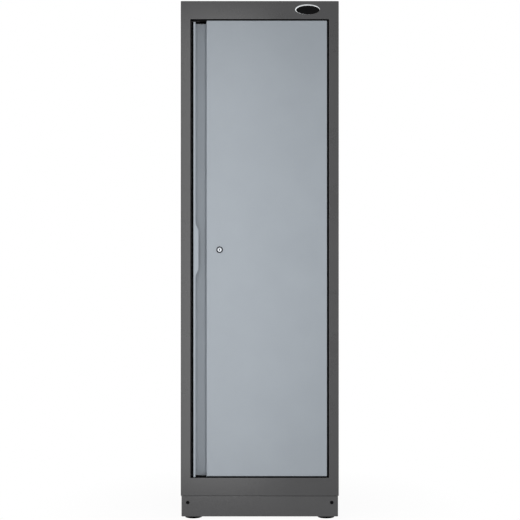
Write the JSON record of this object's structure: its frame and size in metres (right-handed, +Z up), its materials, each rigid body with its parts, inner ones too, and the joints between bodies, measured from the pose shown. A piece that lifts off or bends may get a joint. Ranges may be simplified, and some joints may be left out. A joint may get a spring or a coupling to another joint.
{
  "type": "hinged-door cabinet",
  "caption": "Tall sheet-steel workshop cabinet with an inset hinged door, a full-height grip channel with a pull tab, a key lock driving rods, shelves inside and a plinth on levelling feet.",
  "frame": {"origin": "on the floor, below the middle of the cabinet's footprint", "axes": "+Z up, -Y towards the front with the door, +X to the right seen from the front"},
  "size_m": [0.61, 0.464, 2],
  "materials": {
    "carcass_powder_coat": "satin dark grey powder coat",
    "door_powder_coat": "satin light grey powder coat",
    "zinc_plated_steel": "bright zinc plate",
    "polished_chrome": "polished",
    "satin_chrome": "satin",
    "dark_bezel": "dark grey moulded",
    "black_steel": "black oxide",
    "aluminium": "plain",
    "black_plastic": "moulded",
    "black_rubber": "moulded",
    "plate_enamel": "glossy black"
  },
  "bodies": {
    "carcass": {"left_side_panel": "carcass_powder_coat", "right_side_panel": "carcass_powder_coat", "top_panel": "carcass_powder_coat", "sill_rail": "carcass_powder_coat", "floor_panel": "carcass_powder_coat", "back_panel": "carcass_powder_coat", "back_panel_rivets": "aluminium", "header_plate": "plate_enamel", "header_plate_rim": "satin_chrome", "shelf_clips": "zinc_plated_steel", "magnet_catches": "black_plastic", "door_bumpers": "black_rubber", "upper_hinge_pin": "zinc_plated_steel", "lower_hinge_pin": "zinc_plated_steel", "upper_hinge_plate": "carcass_powder_coat", "lower_hinge_plate": "carcass_powder_coat", "plinth_front": "carcass_powder_coat", "plinth_left": "carcass_powder_coat", "plinth_right": "carcass_powder_coat", "plinth_rear": "carcass_powder_coat", "plinth_screws": "black_steel", "foot_brackets": "carcass_powder_coat", "foot_nuts": "zinc_plated_steel", "left_front_shelf_strip": "carcass_powder_coat", "left_rear_shelf_strip": "carcass_powder_coat", "right_front_shelf_strip": "carcass_powder_coat", "right_rear_shelf_strip": "carcass_powder_coat", "shelf_1": "carcass_powder_coat", "shelf_2": "carcass_powder_coat", "shelf_3": "carcass_powder_coat", "shelf_4": "carcass_powder_coat"},
    "door": {"door_panel": "door_powder_coat", "grip_channel": "door_powder_coat", "door_stiffener": "door_powder_coat", "upper_hinge_bush": "black_plastic", "lower_hinge_bush": "black_plastic", "upper_pivot_plate": "door_powder_coat", "lower_pivot_plate": "door_powder_coat", "lock_plate": "door_powder_coat", "lock_bezel": "dark_bezel", "lock_body": "polished_chrome", "lock_nut": "zinc_plated_steel", "upper_rod_guide": "black_plastic", "lower_rod_guide": "black_plastic"},
    "lock_core": {"lock_plug": "polished_chrome", "lock_cam": "zinc_plated_steel", "lock_cam_screw": "zinc_plated_steel"},
    "rising_rod": {"upper_rod": "zinc_plated_steel"},
    "falling_rod": {"lower_rod": "zinc_plated_steel"},
    "front_left_foot": {"front_left_foot_pad": "black_plastic"},
    "front_left_stud": {"front_left_foot_stud": "zinc_plated_steel"},
    "front_right_foot": {"front_right_foot_pad": "black_plastic"},
    "front_right_stud": {"front_right_foot_stud": "zinc_plated_steel"},
    "rear_left_foot": {"rear_left_foot_pad": "black_plastic"},
    "rear_left_stud": {"rear_left_foot_stud": "zinc_plated_steel"},
    "rear_right_foot": {"rear_right_foot_pad": "black_plastic"},
    "rear_right_stud": {"rear_right_foot_stud": "zinc_plated_steel"}
  },
  "joints": [
    {"name": "door_swing", "type": "hinge", "parent": "carcass", "child": "door", "pos_m": [0.252, -0.22, 1.045], "axis": [0, 0, 1], "range_deg": [0, 110]},
    {"name": "lock_turn", "type": "hinge", "parent": "door", "child": "lock_core", "pos_m": [-0.155, -0.22, 1.04], "axis": [0, 1, 0], "range_deg": [0, 90]},
    {"name": "upper_rod_slide", "type": "slide", "parent": "door", "child": "rising_rod", "axis": [0, 0, 1], "range_m": [0, 0.02263]},
    {"name": "lower_rod_slide", "type": "slide", "parent": "door", "child": "falling_rod", "axis": [0, 0, -1], "range_m": [0, 0.02263]},
    {"name": "front_left_foot_slide", "type": "slide", "parent": "carcass", "child": "front_left_foot", "axis": [0, 0, -1], "range_m": [0, 0.02]},
    {"name": "front_left_stud_turn", "type": "hinge", "parent": "front_left_foot", "child": "front_left_stud", "pos_m": [-0.258, -0.183, 0.02], "axis": [0, 0, -1], "range_deg": [0, 4800]},
    {"name": "front_right_foot_slide", "type": "slide", "parent": "carcass", "child": "front_right_foot", "axis": [0, 0, -1], "range_m": [0, 0.02]},
    {"name": "front_right_stud_turn", "type": "hinge", "parent": "front_right_foot", "child": "front_right_stud", "pos_m": [0.258, -0.183, 0.02], "axis": [0, 0, -1], "range_deg": [0, 4800]},
    {"name": "rear_left_foot_slide", "type": "slide", "parent": "carcass", "child": "rear_left_foot", "axis": [0, 0, -1], "range_m": [0, 0.02]},
    {"name": "rear_left_stud_turn", "type": "hinge", "parent": "rear_left_foot", "child": "rear_left_stud", "pos_m": [-0.258, 0.183, 0.02], "axis": [0, 0, -1], "range_deg": [0, 4800]},
    {"name": "rear_right_foot_slide", "type": "slide", "parent": "carcass", "child": "rear_right_foot", "axis": [0, 0, -1], "range_m": [0, 0.02]},
    {"name": "rear_right_stud_turn", "type": "hinge", "parent": "rear_right_foot", "child": "rear_right_stud", "pos_m": [0.258, 0.183, 0.02], "axis": [0, 0, -1], "range_deg": [0, 4800]}
  ],
  "couplings": [
    {"joint": "lower_rod_slide", "follows": "upper_rod_slide", "ratio": 1},
    {"joint": "lock_turn", "follows": "upper_rod_slide", "rad_per_m": 69.421},
    {"joint": "front_left_stud_turn", "follows": "front_left_foot_slide", "rad_per_m": 4188.8},
    {"joint": "front_right_stud_turn", "follows": "front_right_foot_slide", "rad_per_m": 4188.8},
    {"joint": "rear_left_stud_turn", "follows": "rear_left_foot_slide", "rad_per_m": 4188.8},
    {"joint": "rear_right_stud_turn", "follows": "rear_right_foot_slide", "rad_per_m": 4188.8}
  ]
}
